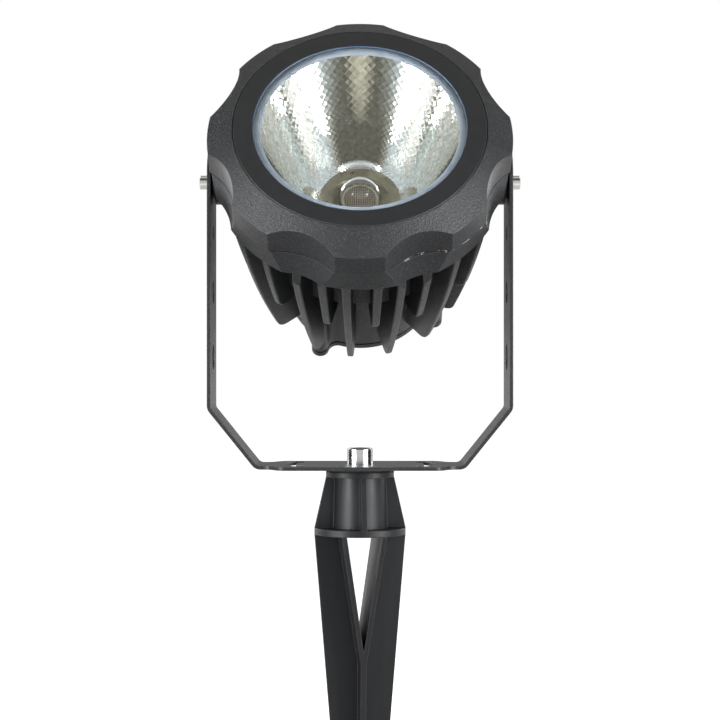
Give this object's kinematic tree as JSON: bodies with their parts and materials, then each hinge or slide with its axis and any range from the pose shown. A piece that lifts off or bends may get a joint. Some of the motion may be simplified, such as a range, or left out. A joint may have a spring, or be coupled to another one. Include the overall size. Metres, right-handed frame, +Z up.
{
  "type": "garden spike spotlight",
  "caption": "Finned garden spotlight head that tilts in a U-shaped steel bracket, which swivels on a ribbed ground spike; reflector and light source behind a flat round glass.",
  "frame": {"origin": "on the spike's axis at the ground line, the underside of the spike's stop flange", "axes": "+Z up along the spike's axis; the light faces -Y and is drawn 33.5 degrees above the horizon; +X to the right seen from the front; the tilt axis runs along X"},
  "size_m": [0.1598, 0.171, 0.4769],
  "materials": {
    "spike_plastic": "matte",
    "swivel_pad_rubber": "matte",
    "swivel_nut_steel": "satin",
    "swivel_screw_steel": "satin",
    "bracket_coat": "satin",
    "pivot_screw_steel": "satin",
    "pivot_washer_steel": "satin",
    "friction_washer_plastic": "matte",
    "bezel_coat": "matte",
    "ring_coat": "matte",
    "lens_glass": "polished",
    "glass_seal": "matte",
    "joint_seal": "matte",
    "bezel_screw_steel": "satin",
    "housing_coat": "matte",
    "reflector_metal": "polished",
    "board_mask": "satin",
    "pad_silicone": "matte",
    "board_screw_steel": "satin",
    "chip_ceramic": "matte",
    "phosphor": "satin",
    "dome_silicone": "polished",
    "lead_insulation": "satin",
    "driver_fibreglass": "satin",
    "driver_screw_steel": "satin",
    "core_ferrite": "matte",
    "winding_tape": "satin",
    "capacitor_sleeve": "satin",
    "film_capacitor_case": "satin",
    "terminal_plastic": "satin",
    "cover_seal": "matte",
    "cover_coat": "matte",
    "cover_screw_steel": "satin",
    "gland_locknut_plastic": "matte",
    "gland_washer_rubber": "matte",
    "gland_body_plastic": "satin",
    "gland_seal_rubber": "matte",
    "gland_nut_plastic": "satin"
  },
  "bodies": {
    "spike": {"ground_spike": "spike_plastic", "swivel_nut": "swivel_nut_steel", "swivel_screw": "swivel_screw_steel", "swivel_pad": "swivel_pad_rubber"},
    "yoke": {"yoke_bracket": "bracket_coat"},
    "head": {"pivot_screws": "pivot_screw_steel", "pivot_washers": "pivot_washer_steel", "friction_washers": "friction_washer_plastic", "front_bezel": "bezel_coat", "glass_ring": "ring_coat", "glass_lens": "lens_glass", "glass_gasket": "glass_seal", "joint_gasket": "joint_seal", "bezel_screws": "bezel_screw_steel", "heatsink_housing": "housing_coat", "reflector": "reflector_metal", "led_board": "board_mask", "thermal_pad": "pad_silicone", "led_board_screws": "board_screw_steel", "led_chip": "chip_ceramic", "led_phosphor": "phosphor", "dome_lens": "dome_silicone", "led_leads": "lead_insulation", "driver_board": "driver_fibreglass", "driver_screws": "driver_screw_steel", "transformer_core": "core_ferrite", "transformer_winding": "winding_tape", "driver_capacitor": "capacitor_sleeve", "film_capacitor": "film_capacitor_case", "terminal_block": "terminal_plastic", "rear_gasket": "cover_seal", "rear_cover": "cover_coat", "rear_cover_screws": "cover_screw_steel", "gland_locknut": "gland_locknut_plastic", "gland_washer": "gland_washer_rubber", "gland_body": "gland_body_plastic", "gland_seal": "gland_seal_rubber", "gland_nut": "gland_nut_plastic"}
  },
  "joints": [
    {"name": "pan", "type": "hinge", "parent": "spike", "child": "yoke", "pos_m": [0, 0, 0.0339], "axis": [0, 0, 1], "continuous": true},
    {"name": "tilt", "type": "hinge", "parent": "yoke", "child": "head", "pos_m": [0, 0, 0.17545], "axis": [-1, 0, 0], "range_deg": [-45, 155]}
  ]
}
